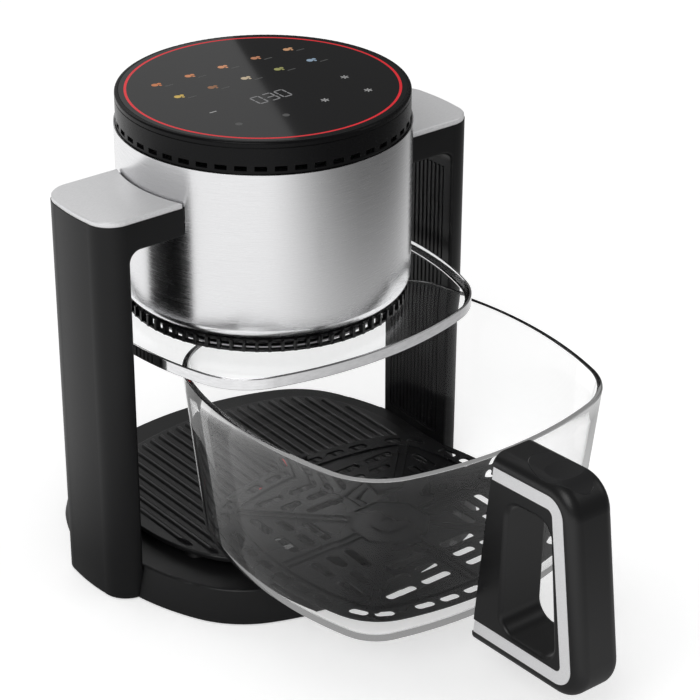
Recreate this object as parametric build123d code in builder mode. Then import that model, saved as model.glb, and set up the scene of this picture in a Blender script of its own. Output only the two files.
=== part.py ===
"""Air fryer oven with a sliding glass bowl, in millimetres.

X runs between the two pillars, -Y is the front, Z is up from the table.
The origin is on the drum's axis. The bowl is drawn pulled forward.
"""

import math
import os

from build123d import *

os.makedirs("parts", exist_ok=True)

# Head: a steel drum with a black cap, held between two pillars.
drum_radius = 108.0
drum_bottom = 203.1
drum_top = 330.9
drum_wall = 1.0
drum_edge_radius = 9.0
drum_flange_radius = 94.0
cap_radius = 106.5
cap_top = 354.6
cap_wall = 3.0
cap_slot_count = 48
display_radius = 103.4
display_thickness = 2.4
light_ring_radius = 98.6
light_ring_width = 1.9

# Air path: slotted cage, glass lid with a steel rim.
lid_bottom = 189.4
lid_rim_height = 8.6
lid_half_x = 134.2
lid_half_y = 128.7
lid_corner = 55.0
lid_inset = 65.6
lid_centre_y = -8.1
lid_lip = 0.8
lid_rim_wall = 1.5
lid_glass = 4.2
lid_hole_radius = 87.5
cage_radius = 106.2
cage_bar_count = 72

# Bowl: a soft square of glass that narrows towards its floor.
bowl_top = 182.7
bowl_bottom = 39.4
bowl_half = 130.8
bowl_corner = 55.0
bowl_inset = 64.4
bowl_taper = 5.9
bowl_wall = 4.2
bowl_floor = 4.5
bowl_foot_radius = 19.0
bowl_closed_y = -8.6
bowl_pulled_out = 139.3
bowl_y = bowl_closed_y - bowl_pulled_out

# Crisper plate lying in the bowl.
plate_top = 61.6
plate_thickness = 1.6
plate_half = 111.3
plate_corner = 42.0
plate_inset = 51.0
plate_ridge_height = 1.3
plate_slot_width = 7.4
spoke_gap = 6.4

# Base and the ribbed tray that the bowl slides on.
base_half_x = 154.4
base_half_y = 144.7
base_corner = 80.0
base_inset = 92.6
base_centre_y = -3.0
base_height = 26.8
base_taper = 12.6
base_wall = 2.5
base_lift = 1.2
tray_half_x = 124.0
tray_half_y = 107.5
tray_corner = 56.0
tray_inset = 66.0
tray_centre_y = -5.0
tray_plate_bottom = 34.2
tray_plate_top = 36.4
tray_rib_top = 38.9
tray_rib_pitch = 9.3
tray_rib_width = 5.0

# Pillars: a leg with an arm that reaches the drum.
pillar_out = 168.3
pillar_in = 145.0
pillar_front = -42.0
pillar_back = 38.0
pillar_corner = 20.0
pillar_wall = 2.5
arm_bottom = 279.5
arm_top = 300.7
arm_fillet = 9.0
arm_cap_height = 4.0
arm_cap_bevel = 0.9
drum_gap = 0.5

# Handle: a loop seen from the side, with a silver band let into each face.
handle_half = 19.0
handle_margin = 10.0
handle_lift = 1.0
band_width = 10.0
band_depth = 1.3
band_proud = 0.2
button_y = -323.0
button_half_y = 26.0
button_half_x = 16.0
button_dish = 1.4

# Clearances.
fit = 0.2
slide_gap = 0.35
shaft_radius = 4.0
shaft_play = 0.06


def soft_square(half_x, half_y, corner, inset, centre_y=0.0):
    """Draws a square with bulging sides, made of eight tangent arcs."""
    corner_x = half_x - inset
    corner_y = half_y - inset
    side_x = (inset**2 + corner_y**2 - corner**2) / (2 * (inset - corner))
    side_y = (inset**2 + corner_x**2 - corner**2) / (2 * (inset - corner))
    to_side_x = Vector(side_x - inset, corner_y).normalized()
    to_side_y = Vector(corner_x, side_y - inset).normalized()
    to_middle = (to_side_x + to_side_y).normalized()
    centre = Vector(corner_x, corner_y)
    on_side_x = centre + to_side_x * corner
    on_side_y = centre + to_side_y * corner
    on_corner = centre + to_middle * corner

    def at(point, sign_x, sign_y):
        return (sign_x * point.X, centre_y + sign_y * point.Y)

    with BuildLine() as outline:
        for sign in (1, -1):
            ThreePointArc(
                at(on_side_x, sign, -1),
                (sign * half_x, centre_y),
                at(on_side_x, sign, 1),
            )
            ThreePointArc(
                at(on_side_y, -1, sign),
                (0, centre_y + sign * half_y),
                at(on_side_y, 1, sign),
            )
            for other in (1, -1):
                ThreePointArc(
                    at(on_side_x, sign, other),
                    at(on_corner, sign, other),
                    at(on_side_y, sign, other),
                )
    make_face(outline.edges())


def base_outline(shrink=0.0):
    soft_square(
        base_half_x - shrink,
        base_half_y - shrink,
        base_corner - shrink,
        base_inset - shrink,
        base_centre_y,
    )


def lid_outline(shrink=0.0):
    soft_square(
        lid_half_x - shrink,
        lid_half_y - shrink,
        lid_corner - shrink,
        lid_inset - shrink,
        lid_centre_y,
    )


def bowl_outline(shrink=0.0):
    soft_square(
        bowl_half - shrink,
        bowl_half - shrink,
        bowl_corner - shrink,
        bowl_inset - shrink,
        bowl_y,
    )


def plate_outline(shrink=0.0):
    soft_square(
        plate_half - shrink,
        plate_half - shrink,
        plate_corner - shrink,
        plate_inset - shrink,
        bowl_y,
    )


def tray_outline(shrink=0.0):
    soft_square(
        tray_half_x - shrink,
        tray_half_y - shrink,
        tray_corner - shrink,
        tray_inset - shrink,
        tray_centre_y,
    )


def pillar_outline(shrink=0.0):
    """Draws a pillar with its arm as seen from above, cut round to the drum."""
    flat_x = pillar_out - 1.2 - shrink
    front = pillar_front + shrink
    back = pillar_back - shrink
    middle = (front + back) / 2
    radius = pillar_corner - shrink
    bow = radius * (1 - math.sqrt(0.5))
    start = drum_radius - 25.0
    with BuildLine() as outline:
        Polyline(
            ((flat_x - radius), back),
            (start, back),
            (start, front),
            ((flat_x - radius), front),
        )
        ThreePointArc(
            ((flat_x - radius), front),
            ((flat_x - bow), front + bow),
            (flat_x, front + radius),
        )
        ThreePointArc(
            (flat_x, front + radius),
            ((flat_x + 1.2), middle),
            (flat_x, back - radius),
        )
        ThreePointArc(
            (flat_x, back - radius),
            ((flat_x - bow), back - bow),
            ((flat_x - radius), back),
        )
    make_face(outline.edges())
    Circle(drum_radius + drum_gap + shrink, mode=Mode.SUBTRACT)


def window_outline(grow=0.0):
    """Draws the space under an arm, with a round corner against the leg."""
    inner = pillar_in + grow
    top = arm_bottom + grow
    with Locations((inner / 2, top / 2 - 5)):
        window = Rectangle(inner, top + 10)
    corner = window.vertices().sort_by(lambda v: v.X + v.Y)[-1]
    fillet(corner, arm_fillet - grow)


def leg_notches(grow=0.0):
    """Removes what the pillars' legs take of the base."""
    width = pillar_back - pillar_front + 2 * fit + 2 * grow
    centre = (pillar_front + pillar_back) / 2
    with Locations((0, centre, base_height / 2)):
        for sign in (1, -1):
            with Locations((sign * (pillar_in - fit - grow + 30), 0, 0)):
                Box(60, width, base_height * 2, mode=Mode.SUBTRACT)


# Base cover: drafted shell with a rounded top edge and a notch for each leg.
with BuildPart() as base_cavity:
    with BuildSketch(Plane.XY.offset(base_lift)):
        base_outline(base_wall)
    extrude(amount=base_height - base_wall - base_lift, taper=base_taper)
    leg_notches(base_wall)

gland_z = 13.0
gland_face_y = base_centre_y + base_half_y - 2.5
with BuildPart() as base_cover:
    with BuildSketch(Plane.XY.offset(base_lift)):
        base_outline()
    extrude(amount=base_height - base_lift, taper=base_taper)
    top_edges = base_cover.faces().sort_by(Axis.Z)[-1].edges()
    fillet(top_edges, 2.2)
    leg_notches()
    add(base_cavity.part, mode=Mode.SUBTRACT)
    with Locations((0, gland_face_y - 6, gland_z)):
        Box(26, 12, 21)
    with Locations((0, gland_face_y + 5, gland_z)):
        Box(20, 10, 20, mode=Mode.SUBTRACT)
    gland_plane = Plane(origin=(0, gland_face_y, gland_z), x_dir=(1, 0, 0), z_dir=(0, 1, 0))
    with BuildSketch(gland_plane):
        Circle(6 + fit)
    extrude(amount=-20, mode=Mode.SUBTRACT)
base_cover.part.label = "base_cover"
export_step(base_cover.part, "parts/base_cover.step")

# Base plate: closes the cover from below.
base_plate_bottom = 2.4
base_plate_top = 4.4
screw_places = [(-95, -75), (95, -75), (-95, 75), (95, 75)]
with BuildPart() as base_bottom:
    with BuildSketch(Plane.XY.offset(base_plate_bottom)):
        base_outline(base_wall + 1.0)
    extrude(amount=base_plate_top - base_plate_bottom)
    leg_notches(base_wall + fit)
    with Locations((0, gland_face_y, 0)):
        Box(28, 26, 20, mode=Mode.SUBTRACT)
    with Locations(*[Location((x, y, base_plate_top)) for x, y in screw_places]):
        Cylinder(1.9, 20, mode=Mode.SUBTRACT)
base_bottom.part.label = "base_bottom"
export_step(base_bottom.part, "parts/base_bottom.step")

# Screw bosses run from the cover's roof down to the plate.
boss_top = base_height - base_wall
with BuildPart() as base_bosses:
    with BuildSketch(Plane.XY.offset(base_plate_top)):
        with Locations(*screw_places):
            Circle(5)
            Circle(1.5, mode=Mode.SUBTRACT)
    extrude(amount=boss_top - base_plate_top)
base_bosses.part.label = "base_bosses"
export_step(base_bosses.part, "parts/base_bosses.step")

with BuildPart() as base_screws:
    with BuildSketch(Plane.XY.offset(base_plate_bottom)):
        with Locations(*screw_places):
            Circle(1.5 - 0.01)
    extrude(amount=12)
    with BuildSketch(Plane.XY.offset(base_plate_bottom)):
        with Locations(*screw_places):
            Circle(3.4)
    extrude(amount=-0.8)
base_screws.part.label = "base_screws"
export_step(base_screws.part, "parts/base_screws.step")

# Feet: one rubber moulding, four pads joined by a ring, carries the appliance.
foot_places = [(-112, -62), (112, -62), (-112, 58), (112, 58)]
foot_ring_inset = 26.0
foot_ring_width = 6.0
with BuildPart() as base_feet:
    with BuildSketch():
        base_outline(foot_ring_inset)
        with BuildSketch(mode=Mode.PRIVATE) as ring_hole:
            base_outline(foot_ring_inset + foot_ring_width)
        add(ring_hole.sketch, mode=Mode.SUBTRACT)
        with Locations(*foot_places):
            Circle(9)
    extrude(amount=base_plate_bottom)
base_feet.part.label = "base_feet"
export_step(base_feet.part, "parts/base_feet.step")

# Cord gland at the back, with a bore for the cord.
with BuildPart() as cord_gland:
    with BuildSketch(gland_plane.offset(-10)):
        Circle(6)
    extrude(amount=10)
    with BuildSketch(gland_plane):
        Circle(8.5)
    extrude(amount=2)
    with BuildSketch(gland_plane.offset(2)):
        Circle(6)
    extrude(amount=5, taper=12)
    with BuildSketch(gland_plane.offset(-11)):
        Circle(3.4)
    extrude(amount=20, mode=Mode.SUBTRACT)
cord_gland.part.label = "cord_gland"
export_step(cord_gland.part, "parts/cord_gland.step")

# Ribbed tray: a plate with a turned-down skirt and ribs along the bowl's way.
rib_count = 2 * int((tray_half_x - 10) / tray_rib_pitch) + 1
rib_step = tray_rib_top - tray_plate_top
with BuildPart() as rib_limit:
    with BuildSketch(Plane.XY.offset(tray_plate_top)):
        tray_outline(6.0)
    extrude(amount=rib_step)

with BuildPart() as ribs:
    with BuildSketch(Plane.XZ.offset(-tray_half_y)):
        for index in range(rib_count):
            middle = (index - (rib_count - 1) / 2) * tray_rib_pitch
            left = middle - tray_rib_width / 2
            right = middle + tray_rib_width / 2
            shoulder = tray_plate_top + rib_step * 0.45
            with BuildLine():
                Polyline(
                    (left + 0.5, shoulder),
                    (left, tray_plate_top),
                    (right, tray_plate_top),
                    (right - 0.5, shoulder),
                )
                ThreePointArc(
                    (left + 0.5, shoulder),
                    (middle, tray_rib_top),
                    (right - 0.5, shoulder),
                )
            make_face()
    extrude(amount=2 * tray_half_y + 20)
    add(rib_limit.part, mode=Mode.INTERSECT)

with BuildPart() as ribbed_tray:
    with BuildSketch(Plane.XY.offset(tray_plate_bottom - 1.2)):
        tray_outline()
    extrude(amount=tray_plate_top - tray_plate_bottom + 1.2)
    fillet(ribbed_tray.faces().sort_by(Axis.Z)[-1].edges(), 1.0)
    with BuildSketch(Plane.XY.offset(tray_plate_bottom - 1.2)):
        tray_outline(2.2)
    extrude(amount=1.2, mode=Mode.SUBTRACT)
    add(ribs.part)
ribbed_tray.part.label = "ribbed_tray"
export_step(ribbed_tray.part, "parts/ribbed_tray.step")

# Tray feet: cones that stand on the base.
cone_x = 104.0
cone_y = 46.0
with BuildPart() as tray_feet:
    for x in (-cone_x, cone_x):
        for y in (-cone_y, cone_y):
            with Locations((x, tray_centre_y + y, (base_height + tray_plate_bottom) / 2)):
                Cone(8.5, 5.0, tray_plate_bottom - base_height)
tray_feet.part.label = "tray_feet"
export_step(tray_feet.part, "parts/tray_feet.step")

# Red mark printed between the ribs: a dash and a dot.
mark_y = -22.0
with BuildPart() as dock_mark:
    with BuildSketch(Plane.XY.offset(tray_rib_top)):
        with Locations((-11.5, mark_y)):
            SlotOverall(15, 3.2)
        with Locations((-24.5, mark_y)):
            Circle(1.5)
    extrude(amount=0.15)
dock_mark.part.label = "dock_mark"
export_step(dock_mark.part, "parts/dock_mark.step")

# Pillars: hollow legs with an arm each, a ribbed panel, a cap and a bracket.
panel_front = pillar_front + 9.0
panel_back = pillar_back - 9.0
panel_bottom = 34.0
panel_top = arm_bottom - 14.0
panel_middle = (panel_front + panel_back) / 2
panel_height = (panel_bottom + panel_top) / 2
bracket_half = 12.0
bracket_z = arm_bottom + pillar_wall
bracket_thick = 3.0
with BuildPart() as pillar_cavity:
    with BuildSketch(Plane.XY.offset(base_lift + pillar_wall)):
        pillar_outline(pillar_wall)
    extrude(amount=arm_top - base_lift - 2 * pillar_wall)
    with BuildSketch(Plane.XZ):
        window_outline(pillar_wall)
    extrude(amount=80, both=True, mode=Mode.SUBTRACT)

with BuildPart() as right_pillar_shell:
    with BuildSketch(Plane.XY.offset(base_lift)):
        pillar_outline()
    extrude(amount=arm_top - base_lift)
    with BuildSketch(Plane.XZ):
        window_outline()
    extrude(amount=80, both=True, mode=Mode.SUBTRACT)
    leg_edges = right_pillar_shell.edges().filter_by(Axis.Z)
    fillet([e for e in leg_edges if abs(e.center().X - pillar_in) < 0.1], 2.2)
    add(pillar_cavity.part, mode=Mode.SUBTRACT)
    # Opening for the ribbed panel.
    with Locations((pillar_in, panel_middle, panel_height)):
        Box(
            3 * pillar_wall,
            panel_back - panel_front,
            panel_top - panel_bottom,
            mode=Mode.SUBTRACT,
        )
    # Slot where the bracket leaves the arm towards the drum.
    with Locations((drum_radius, 0, bracket_z + bracket_thick / 2)):
        Box(12, 2 * (bracket_half + fit), bracket_thick + 2 * fit, mode=Mode.SUBTRACT)
right_pillar_shell.part.label = "right_pillar_shell"
export_step(right_pillar_shell.part, "parts/right_pillar_shell.step")

rib_number = 13
rib_space = (panel_back - panel_front - 6.0) / (rib_number - 1)
panel_inner = pillar_in + 0.9
with BuildPart() as right_pillar_panel:
    with Locations(((panel_inner + 0.8), panel_middle, panel_height)):
        Box(
            1.6,
            panel_back - panel_front - 2 * fit,
            panel_top - panel_bottom - 2 * fit,
        )
    for index in range(rib_number):
        rib_y = panel_front + 3.0 + index * rib_space
        with Locations(((panel_inner - 0.35), rib_y, panel_height)):
            Box(0.7, 2.0, panel_top - panel_bottom - 4.0)
right_pillar_panel.part.label = "right_pillar_panel"
export_step(right_pillar_panel.part, "parts/right_pillar_panel.step")

with BuildPart() as right_pillar_cap:
    with BuildSketch(Plane.XY.offset(arm_top)):
        pillar_outline(0.6)
    extrude(amount=arm_cap_height - arm_cap_bevel)
    with BuildSketch(Plane.XY.offset(arm_top + arm_cap_height - arm_cap_bevel)):
        pillar_outline(0.6)
    extrude(amount=arm_cap_bevel, taper=45)
right_pillar_cap.part.label = "right_pillar_cap"
export_step(right_pillar_cap.part, "parts/right_pillar_cap.step")

tab_face = 105.9
with BuildPart() as right_arm_bracket:
    with Locations(((tab_face - 3.0 + 158.0) / 2, 0, bracket_z + bracket_thick / 2)):
        Box(158.0 - tab_face + 3.0, 2 * bracket_half, bracket_thick)
    with Locations(((tab_face - 1.5), 0, bracket_z + 15)):
        Box(3.0, 2 * bracket_half, 30)
    with Locations((156.5, 0, bracket_z - 22)):
        Box(3.0, 2 * bracket_half, 44)
    with BuildSketch(Plane.YZ.offset((tab_face - 5))):
        with Locations((-6, bracket_z + 22), (6, bracket_z + 22)):
            Circle(2.1)
    extrude(amount=8, mode=Mode.SUBTRACT)
right_arm_bracket.part.label = "right_arm_bracket"
export_step(right_arm_bracket.part, "parts/right_arm_bracket.step")

# The left pillar is the right one's mirror image.
for name, piece in (
    ("left_pillar_shell", right_pillar_shell),
    ("left_pillar_panel", right_pillar_panel),
    ("left_pillar_cap", right_pillar_cap),
    ("left_arm_bracket", right_arm_bracket),
):
    with BuildPart() as left_piece:
        mirror(piece.part, about=Plane.YZ)
    left_piece.part.label = name
    export_step(left_piece.part, f"parts/{name}.step")

# Drum: thin steel tube whose lower edge rolls inwards to a flange.
edge_centre = (drum_radius - drum_edge_radius, drum_bottom + drum_edge_radius)
diagonal = math.sqrt(0.5)
inner_edge = drum_edge_radius - drum_wall
with BuildPart() as drum_shell:
    with BuildSketch(Plane.XZ):
        with BuildLine():
            Polyline(
                (edge_centre[0], drum_bottom),
                (drum_flange_radius, drum_bottom),
                (drum_flange_radius, drum_bottom + drum_wall),
                (edge_centre[0], drum_bottom + drum_wall),
            )
            ThreePointArc(
                (edge_centre[0], drum_bottom + drum_wall),
                (edge_centre[0] + inner_edge * diagonal, edge_centre[1] - inner_edge * diagonal),
                (drum_radius - drum_wall, edge_centre[1]),
            )
            Polyline(
                (drum_radius - drum_wall, edge_centre[1]),
                (drum_radius - drum_wall, drum_top),
                (drum_radius, drum_top),
                (drum_radius, edge_centre[1]),
            )
            ThreePointArc(
                (drum_radius, edge_centre[1]),
                (
                    edge_centre[0] + drum_edge_radius * diagonal,
                    edge_centre[1] - drum_edge_radius * diagonal,
                ),
                (edge_centre[0], drum_bottom),
            )
        make_face()
    revolve(axis=Axis.Z)
    for sign in (1, -1):
        with Locations((sign * drum_radius, 0, bracket_z + bracket_thick / 2)):
            Box(12, 2 * (bracket_half + fit), bracket_thick + 2 * fit, mode=Mode.SUBTRACT)
drum_shell.part.label = "drum_shell"
export_step(drum_shell.part, "parts/drum_shell.step")

# Heater pan: inverted dish that holds the coil and the convection fan.
pan_radius = 91.0
pan_flange_radius = 98.4
pan_bottom = drum_bottom + drum_wall
pan_roof = 241.0
coil_z = 213.5
coil_radii = (62.0, 76.0)
coil_tube = 3.2
terminal_radius = 2.6
with BuildPart() as heater_pan:
    with BuildSketch(Plane.XZ):
        with BuildLine():
            Polyline(
                (pan_radius, pan_bottom),
                (pan_flange_radius, pan_bottom),
                (pan_flange_radius, pan_bottom + 1),
                (pan_radius + 1, pan_bottom + 1),
                (pan_radius + 1, pan_roof),
                (6, pan_roof),
                (6, pan_roof - 1),
                (pan_radius, pan_roof - 1),
                close=True,
            )
        make_face()
    revolve(axis=Axis.Z)
    with BuildSketch(Plane.XY.offset(pan_roof - 5)):
        with Locations(*[(-radius, 0) for radius in coil_radii]):
            Circle(terminal_radius + fit)
    extrude(amount=10, mode=Mode.SUBTRACT)
heater_pan.part.label = "heater_pan"
export_step(heater_pan.part, "parts/heater_pan.step")

with BuildPart() as heating_element:
    for radius in coil_radii:
        with BuildSketch(Plane.XZ) as tube:
            with Locations((radius, coil_z)):
                RegularPolygon(coil_tube, 8, rotation=22.5)
        revolve(tube.sketch, axis=Axis.Z)
    with Locations((sum(coil_radii) / 2, 0, coil_z)):
        Box(coil_radii[1] - coil_radii[0], 4, 2)
    with BuildSketch(Plane.XY.offset(coil_z)):
        with Locations(*[(-radius, 0) for radius in coil_radii]):
            Circle(terminal_radius)
    extrude(amount=245 - coil_z)
heating_element.part.label = "heating_element"
export_step(heating_element.part, "parts/heating_element.step")

# Guard under the coil: flat rings on three cross bars.
guard_rings = (26.0, 44.0, 62.0, 80.0)
with BuildPart() as heater_guard:
    with BuildSketch(Plane.XY.offset(pan_bottom + 1.2)):
        for radius in guard_rings:
            with BuildSketch(mode=Mode.PRIVATE) as ring:
                Circle(radius + 1.1)
                Circle(radius - 1.1, mode=Mode.SUBTRACT)
            add(ring.sketch)
        for turn in (0, 60, 120):
            with Locations(Location((0, 0, 0), (0, 0, turn))):
                Rectangle(2 * (pan_radius - fit), 2.4)
    extrude(amount=2.0)
heater_guard.part.label = "heater_guard"
export_step(heater_guard.part, "parts/heater_guard.step")

# Vent cage: an upper and a lower ring joined by a bar every few degrees,
# and wider posts inside that clamp the glass at its hole.
cage_bottom = lid_bottom + lid_lip + lid_glass
cage_top = drum_bottom
cage_ring = 1.8
bar_depth = 4.2
post_count = 24
post_depth = 2.5
seat_outside = lid_hole_radius + 5.0
seat_inside = lid_hole_radius - 3.0
with BuildPart() as vent_cage:
    with BuildSketch(Plane.XY.offset(cage_bottom)):
        Circle(cage_radius - 0.8)
        Circle(cage_radius - bar_depth, mode=Mode.SUBTRACT)
        with BuildSketch(mode=Mode.PRIVATE) as seat:
            Circle(seat_outside)
            Circle(seat_inside, mode=Mode.SUBTRACT)
        add(seat.sketch)
    extrude(amount=cage_ring)
    with BuildSketch(Plane.XY.offset(cage_top - cage_ring)):
        Circle(cage_radius - 2.6)
        Circle(seat_outside - post_depth, mode=Mode.SUBTRACT)
    extrude(amount=cage_ring)
    with PolarLocations(cage_radius - bar_depth / 2, cage_bar_count):
        with Locations((0, 0, (cage_bottom + cage_top) / 2)):
            Box(bar_depth, 2.4, cage_top - cage_bottom - 0.4)
    with PolarLocations(seat_outside - post_depth / 2, post_count):
        with Locations((0, 0, (cage_bottom + cage_top) / 2)):
            Box(post_depth, 10, cage_top - cage_bottom - 0.4)
vent_cage.part.label = "vent_cage"
export_step(vent_cage.part, "parts/vent_cage.step")

# Glass lid in its steel rim, held from below by a flat ring.
with BuildPart() as glass_lid:
    with BuildSketch(Plane.XY.offset(lid_bottom + lid_lip)):
        lid_outline(lid_rim_wall + fit)
        Circle(lid_hole_radius, mode=Mode.SUBTRACT)
    extrude(amount=lid_glass)
glass_lid.part.label = "glass_lid"
export_step(glass_lid.part, "parts/glass_lid.step")

with BuildPart() as lid_rim:
    with BuildSketch(Plane.XY.offset(lid_bottom)):
        lid_outline()
    extrude(amount=lid_rim_height)
    fillet(lid_rim.edges().filter_by(Axis.Z, reverse=True).group_by(Axis.Z)[-1], 0.7)
    fillet(lid_rim.edges().group_by(Axis.Z)[0], 0.5)
    with BuildSketch(Plane.XY.offset(lid_bottom)):
        lid_outline(5.0)
    extrude(amount=lid_rim_height, mode=Mode.SUBTRACT)
    with BuildSketch(Plane.XY.offset(lid_bottom + lid_lip)):
        lid_outline(lid_rim_wall)
    extrude(amount=lid_rim_height, mode=Mode.SUBTRACT)
lid_rim.part.label = "lid_rim"
export_step(lid_rim.part, "parts/lid_rim.step")

with BuildPart() as lid_retainer:
    with BuildSketch(Plane.XY.offset(lid_bottom + lid_lip - 1.4)):
        Circle(lid_hole_radius + 6)
        Circle(lid_hole_radius - 3, mode=Mode.SUBTRACT)
    extrude(amount=1.4)
    with BuildSketch(Plane.XY.offset(lid_bottom + lid_lip)):
        Circle(lid_hole_radius - fit)
        Circle(lid_hole_radius - 3, mode=Mode.SUBTRACT)
    extrude(amount=lid_glass)
lid_retainer.part.label = "lid_retainer"
export_step(lid_retainer.part, "parts/lid_retainer.step")

# Motor, its bracket and the turning parts on its shaft.
motor_bottom = 264.0
motor_top = 292.0
motor_radius = 31.0
shaft_bottom = 218.0
fan_z = 223.0
cooling_z = 247.0
with BuildPart() as motor_can:
    with BuildSketch(Plane.XY.offset(motor_bottom)):
        Circle(motor_radius)
    extrude(amount=motor_top - motor_bottom)
    fillet(motor_can.edges(), 3.0)
    with BuildSketch(Plane.XY.offset(motor_bottom - 3)):
        Circle(9)
    extrude(amount=4)
    with BuildSketch(Plane.XY.offset(motor_bottom - 5)):
        Circle(shaft_radius + shaft_play)
    extrude(amount=motor_top - motor_bottom + 1, mode=Mode.SUBTRACT)
motor_can.part.label = "motor_can"
export_step(motor_can.part, "parts/motor_can.step")

deck_radius = drum_radius - drum_wall - fit
with BuildPart() as motor_bracket:
    with BuildSketch(Plane.XY.offset(motor_top)):
        Circle(motor_radius + 6)
        with PolarLocations(deck_radius / 2, 3, start_angle=90):
            Rectangle(deck_radius, 22)
        Circle(deck_radius, mode=Mode.INTERSECT)
        Circle(8, mode=Mode.SUBTRACT)
    extrude(amount=2)
    with PolarLocations(deck_radius - 3, 3, start_angle=90):
        with Locations((0, 0, motor_top - 8)):
            Box(2, 22, 16)
motor_bracket.part.label = "motor_bracket"
export_step(motor_bracket.part, "parts/motor_bracket.step")

with BuildPart() as motor_shaft:
    with BuildSketch(Plane.XY.offset(shaft_bottom)):
        Circle(shaft_radius)
    extrude(amount=motor_top - 5 - shaft_bottom)
motor_shaft.part.label = "motor_shaft"
export_step(motor_shaft.part, "parts/motor_shaft.step")

with BuildPart() as convection_fan:
    with Locations((0, 0, fan_z + 7)):
        Cylinder(9, 14)
    with Locations((0, 0, fan_z + 13.4)):
        Cylinder(50, 1.2)
    with PolarLocations(29, 9):
        with Locations(Location((0, 0, fan_z + 7), (0, 0, 18))):
            Box(42, 1.4, 12)
    with Locations((0, 0, fan_z + 7)):
        Cylinder(shaft_radius, 20, mode=Mode.SUBTRACT)
convection_fan.part.label = "convection_fan"
export_step(convection_fan.part, "parts/convection_fan.step")

with BuildPart() as cooling_fan:
    with Locations((0, 0, cooling_z + 5)):
        Cylinder(12, 10)
    with PolarLocations(38, 7):
        with Locations(Location((0, 0, cooling_z + 5), (32, 0, 0))):
            Box(56, 14, 1.6)
    with Locations((0, 0, cooling_z + 5)):
        Cylinder(shaft_radius, 20, mode=Mode.SUBTRACT)
cooling_fan.part.label = "cooling_fan"
export_step(cooling_fan.part, "parts/cooling_fan.step")

with BuildPart() as fan_nut:
    with BuildSketch(Plane.XY.offset(fan_z - 5)):
        RegularPolygon(7, 6)
        Circle(shaft_radius, mode=Mode.SUBTRACT)
    extrude(amount=5)
fan_nut.part.label = "fan_nut"
export_step(fan_nut.part, "parts/fan_nut.step")

# Deck that carries the power board, under the cap.
deck_z = 317.0
with BuildPart() as upper_deck:
    with BuildSketch(Plane.XY.offset(deck_z)):
        Circle(deck_radius)
        with PolarLocations(62, 6):
            SlotOverall(34, 8, rotation=90, mode=Mode.SUBTRACT)
    extrude(amount=2)
upper_deck.part.label = "upper_deck"
export_step(upper_deck.part, "parts/upper_deck.step")

board_z = deck_z + 6.0
with BuildPart() as power_board:
    with Locations((0, 0, board_z + 0.8)):
        Box(104, 64, 1.6)
    with Locations(*[(x, y, deck_z + 4) for x in (-46, 46) for y in (-26, 26)]):
        Cylinder(2.5, 4)
    with Locations((-24, 8, board_z + 9)):
        Box(34, 28, 15)
    with Locations((26, -12, board_z + 7)):
        Cylinder(8, 12)
    with Locations((28, 14, board_z + 5)):
        Box(18, 14, 8)
power_board.part.label = "power_board"
export_step(power_board.part, "parts/power_board.step")

# Cap: black ring with a row of vent slots, and the glass display let into it.
cap_bottom = drum_top + 0.2
slot_bottom = cap_bottom + 2.2
slot_height = 3.6
glass_bottom = cap_top - display_thickness
with BuildPart() as cap_ring:
    with BuildSketch(Plane.XY.offset(cap_bottom)):
        Circle(cap_radius)
    extrude(amount=cap_top - cap_bottom)
    fillet(cap_ring.faces().sort_by(Axis.Z)[-1].edges(), 1.6)
    with BuildSketch(Plane.XY.offset(cap_bottom)):
        Circle(cap_radius - cap_wall)
    extrude(amount=glass_bottom - 2 - cap_bottom, mode=Mode.SUBTRACT)
    with BuildSketch(Plane.XY.offset(glass_bottom - 3)):
        Circle(light_ring_radius + 3)
    extrude(amount=6, mode=Mode.SUBTRACT)
    with BuildSketch(Plane.XY.offset(glass_bottom)):
        Circle(display_radius + fit)
    extrude(amount=6, mode=Mode.SUBTRACT)
    # Fine groove round the side, below the top edge.
    with BuildSketch(Plane.XY.offset(cap_top - 4.6)):
        Circle(cap_radius + 1)
        Circle(cap_radius - 0.5, mode=Mode.SUBTRACT)
    extrude(amount=0.7, mode=Mode.SUBTRACT)
    with PolarLocations(cap_radius, cap_slot_count):
        with Locations((0, 0, slot_bottom + slot_height / 2)):
            Box(3 * cap_wall, 8.6, slot_height, mode=Mode.SUBTRACT)
cap_ring.part.label = "cap_ring"
export_step(cap_ring.part, "parts/cap_ring.step")

with BuildPart() as display_glass:
    with BuildSketch(Plane.XY.offset(glass_bottom)):
        Circle(display_radius)
    extrude(amount=display_thickness)
    with BuildSketch(Plane.XY.offset(cap_top - 0.6)):
        Circle(light_ring_radius + light_ring_width / 2)
        Circle(light_ring_radius - light_ring_width / 2, mode=Mode.SUBTRACT)
    extrude(amount=2, mode=Mode.SUBTRACT)
display_glass.part.label = "display_glass"
export_step(display_glass.part, "parts/display_glass.step")

with BuildPart() as light_ring:
    with BuildSketch(Plane.XY.offset(cap_top - 0.6)):
        Circle(light_ring_radius + light_ring_width / 2)
        Circle(light_ring_radius - light_ring_width / 2, mode=Mode.SUBTRACT)
    extrude(amount=0.6)
light_ring.part.label = "light_ring"
export_step(light_ring.part, "parts/light_ring.step")

guide_bottom = glass_bottom - 5.0
with BuildPart() as light_guide:
    with BuildSketch(Plane.XY.offset(guide_bottom)):
        Circle(light_ring_radius + 2.8)
        Circle(light_ring_radius - 2.2, mode=Mode.SUBTRACT)
    extrude(amount=glass_bottom - guide_bottom)
light_guide.part.label = "light_guide"
export_step(light_guide.part, "parts/light_guide.step")

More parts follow.
